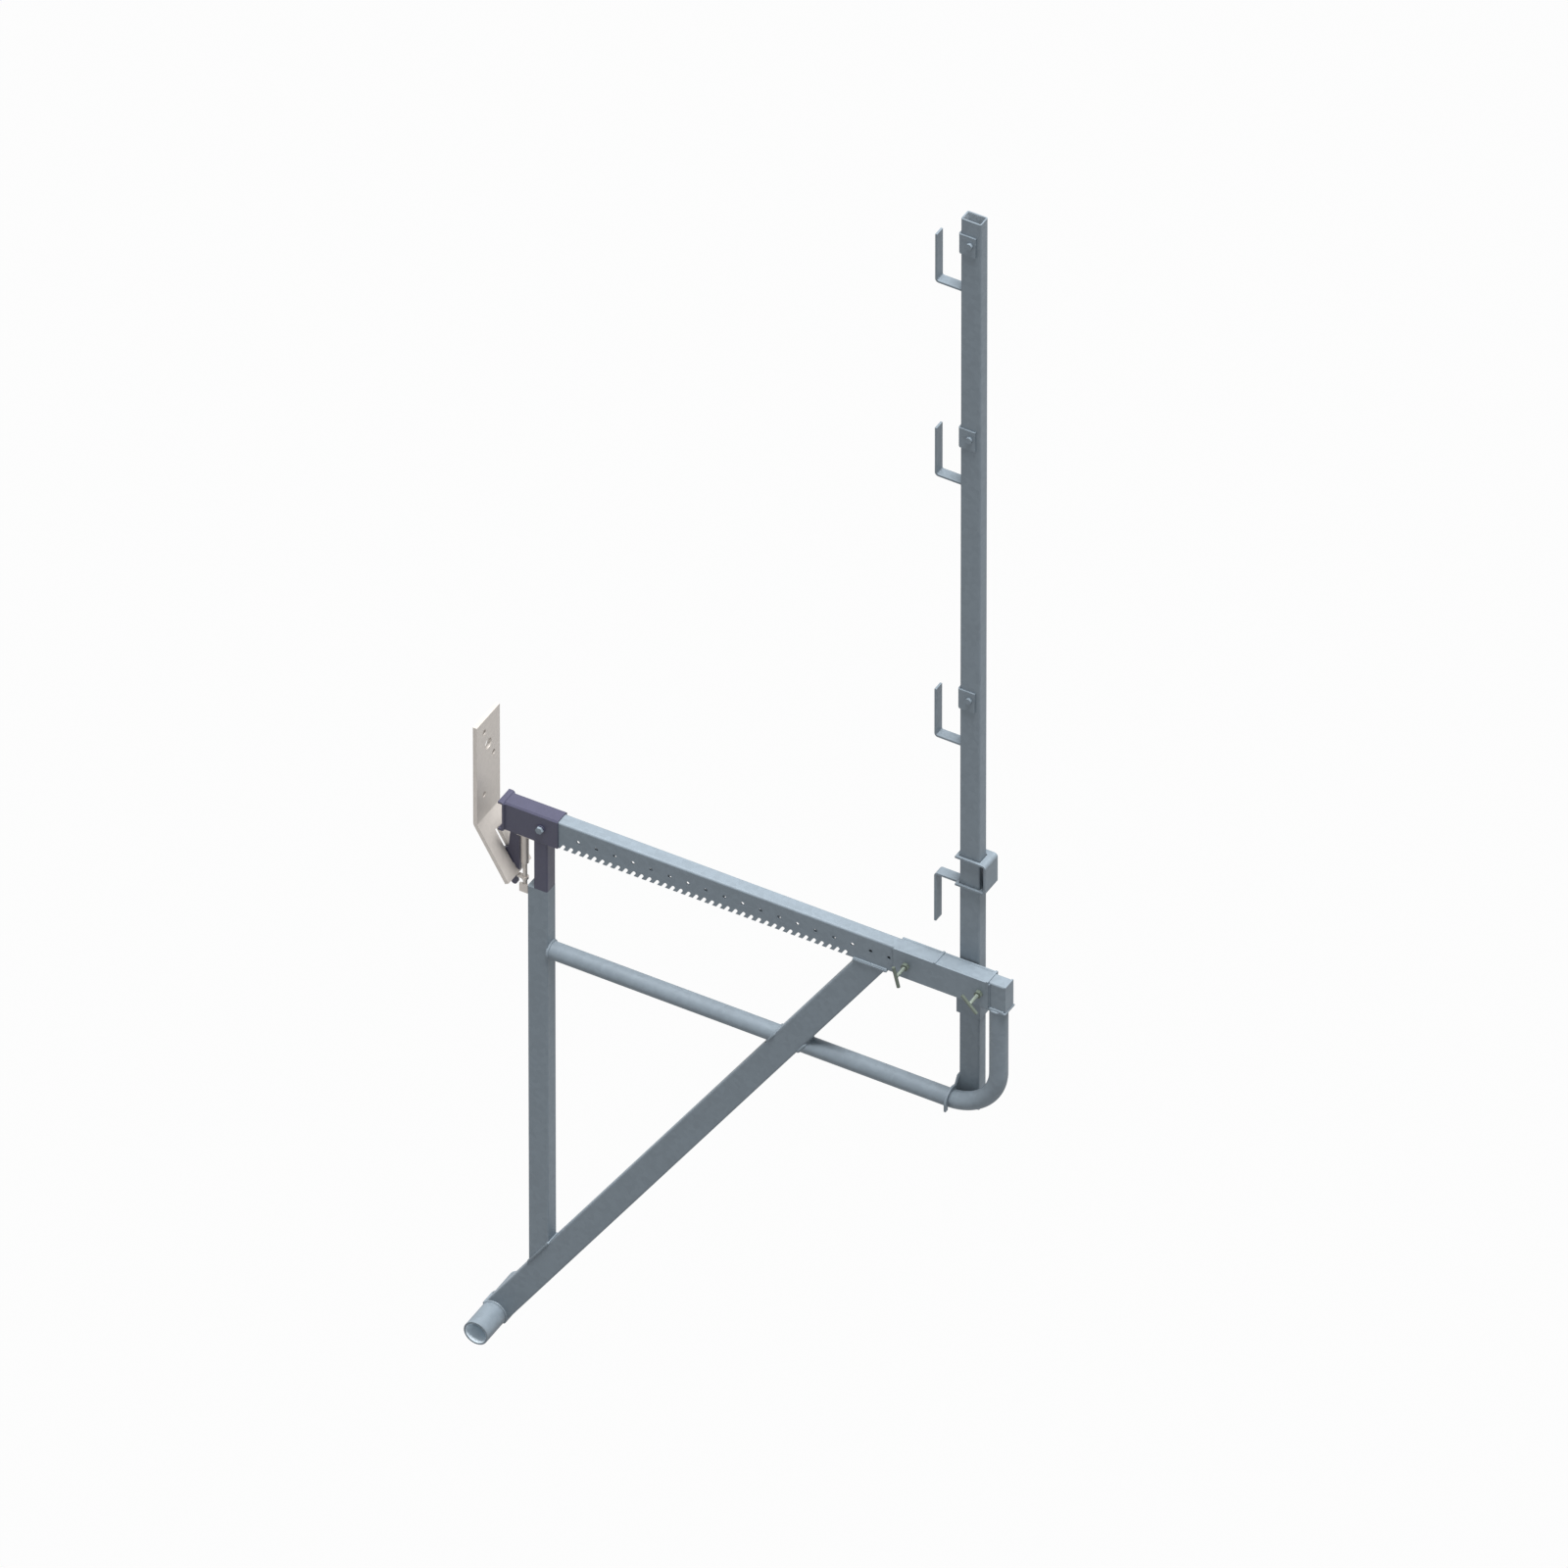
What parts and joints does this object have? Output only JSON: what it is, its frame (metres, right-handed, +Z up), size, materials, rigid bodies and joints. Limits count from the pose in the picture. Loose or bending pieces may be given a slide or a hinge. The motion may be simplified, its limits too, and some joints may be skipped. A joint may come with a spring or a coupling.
{
  "type": "roof scaffold bracket",
  "caption": "Wall strap carrying a hooked triangular steel bracket with a notched platform beam, and a sleeved guard post with rail hooks and a toe-board clamp.",
  "frame": {"origin": "centre of the large wall-bolt hole, on the back face of the wall strap, which is the wall plane", "axes": "+X out of the wall along the beam, +Z up, +Y completes the frame; the bracket's middle plane is Y = 0 and the guard post stands at +Y"},
  "size_m": [1.052, 0.158, 2.8672],
  "materials": {
    "galvanised": "dull hot-dip galvanised steel",
    "pale_steel": "pale zinc-plated plate",
    "slate_paint": "dark slate paint, satin",
    "yellow_zinc": "yellow passivated zinc"
  },
  "bodies": {
    "wall_strap": {"wall_strap": "pale_steel"},
    "bracket": {"beam": "galvanised", "beam_end_plate": "galvanised", "inner_post": "galvanised", "inner_post_cap": "galvanised", "strut": "galvanised", "strut_cap_plate": "galvanised", "foot_tube": "galvanised", "chord_tube_inner": "galvanised", "chord_tube_outer": "galvanised", "tube_cap_plate": "galvanised", "side_plate_near": "galvanised", "side_plate_far": "galvanised", "side_plate_ties": "galvanised", "post_sleeve": "galvanised", "screw_bosses": "yellow_zinc", "head_saddle": "slate_paint", "head_end_plate": "slate_paint", "head_shell": "slate_paint", "head_bolt": "galvanised", "head_nut": "galvanised", "head_washers": "slate_paint", "hook_blade": "slate_paint", "latch_bush": "pale_steel"},
    "latch": {"latch_pin": "pale_steel", "latch_wing": "pale_steel"},
    "inner_t_screw": {"inner_screw": "yellow_zinc", "inner_screw_bar": "yellow_zinc"},
    "outer_t_screw": {"outer_screw": "yellow_zinc", "outer_screw_bar": "yellow_zinc"},
    "guard_post": {"guard_post": "galvanised", "post_fork": "galvanised", "rail_hook_low": "galvanised", "rail_hook_middle": "galvanised", "rail_hook_top": "galvanised", "hook_clip_low": "galvanised", "hook_clip_middle": "galvanised", "hook_clip_top": "galvanised", "clip_bolts": "galvanised", "clip_nuts": "galvanised"},
    "toe_clamp": {"toe_board_clamp": "galvanised"}
  },
  "joints": [
    {"name": "hang_swing", "type": "hinge", "parent": "wall_strap", "child": "bracket", "pos_m": [0.05841, 0, -0.25044], "axis": [0, -1, 0], "range_deg": [0, 8]},
    {"name": "latch_turn", "type": "hinge", "parent": "bracket", "child": "latch", "pos_m": [0.081, 0, -0.2], "axis": [0, 0, 1], "range_deg": [0, 90]},
    {"name": "inner_t_screw_turn", "type": "hinge", "parent": "bracket", "child": "inner_t_screw", "pos_m": [0.8545, 0, -0.137], "axis": [0, -1, 0], "range_deg": [0, 720]},
    {"name": "outer_t_screw_turn", "type": "hinge", "parent": "bracket", "child": "outer_t_screw", "pos_m": [1.0009, 0, -0.137], "axis": [0, -1, 0], "range_deg": [0, 720]},
    {"name": "guard_post_lift", "type": "slide", "parent": "bracket", "child": "guard_post", "axis": [0, 0, 1], "range_m": [0, 0.14]},
    {"name": "toe_clamp_slide", "type": "slide", "parent": "guard_post", "child": "toe_clamp", "axis": [0, 0, 1], "range_m": [-0.15, 0.24]}
  ]
}
